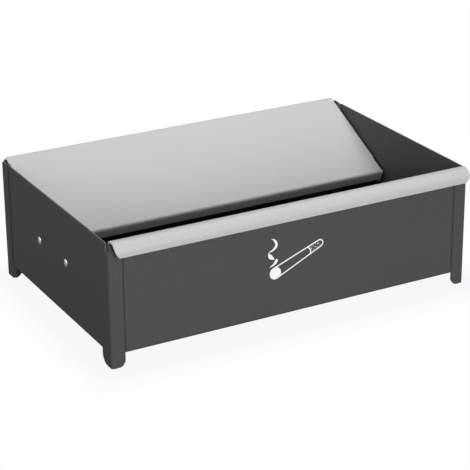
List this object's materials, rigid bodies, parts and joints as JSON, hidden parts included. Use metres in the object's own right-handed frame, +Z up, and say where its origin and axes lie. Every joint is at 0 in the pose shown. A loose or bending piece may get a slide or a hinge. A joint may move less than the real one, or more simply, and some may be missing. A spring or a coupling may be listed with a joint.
{
  "type": "ashtray bin",
  "caption": "Low folded-steel ashtray box on corner feet, with a sloped flap that swings on side rivets and a rolled front cap.",
  "frame": {"origin": "centre of the box's footprint, at the level of the ground under the feet", "axes": "+X to the right seen from the front, +Y to the rear, +Z up"},
  "size_m": [0.4022, 0.2678, 0.1294],
  "materials": {
    "dark_powder_coat": "dark grey powder coat, fine satin texture",
    "light_powder_coat": "light grey powder coat, fine satin texture",
    "rivet_aluminium": "bright blind rivets",
    "spacer_nylon": "natural nylon",
    "washer_steel": "zinc-plated",
    "stop_rubber": "black rubber",
    "mandrel_steel": "broken steel mandrel ends",
    "pictogram_film": "white self-adhesive film"
  },
  "bodies": {
    "box": {"left_side_panel": "dark_powder_coat", "right_side_panel": "dark_powder_coat", "front_panel": "dark_powder_coat", "rear_panel": "dark_powder_coat", "floor_plate": "dark_powder_coat", "front_cap": "light_powder_coat", "cap_rivets": "rivet_aluminium", "left_pivot_rivet": "rivet_aluminium", "right_pivot_rivet": "rivet_aluminium", "left_pivot_spacer": "spacer_nylon", "right_pivot_spacer": "spacer_nylon", "left_pivot_washer": "washer_steel", "right_pivot_washer": "washer_steel", "left_stop_rivet": "rivet_aluminium", "right_stop_rivet": "rivet_aluminium", "left_stop_sleeve": "stop_rubber", "right_stop_sleeve": "stop_rubber", "rivet_mandrels": "mandrel_steel", "front_pictogram": "pictogram_film"},
    "flap": {"lid_flap": "light_powder_coat"}
  },
  "joints": [
    {"name": "flap_pivot", "type": "hinge", "parent": "box", "child": "flap", "pos_m": [0, 0.03935, 0.0712], "axis": [1, 0, 0], "range_deg": [0, 138.9]}
  ]
}
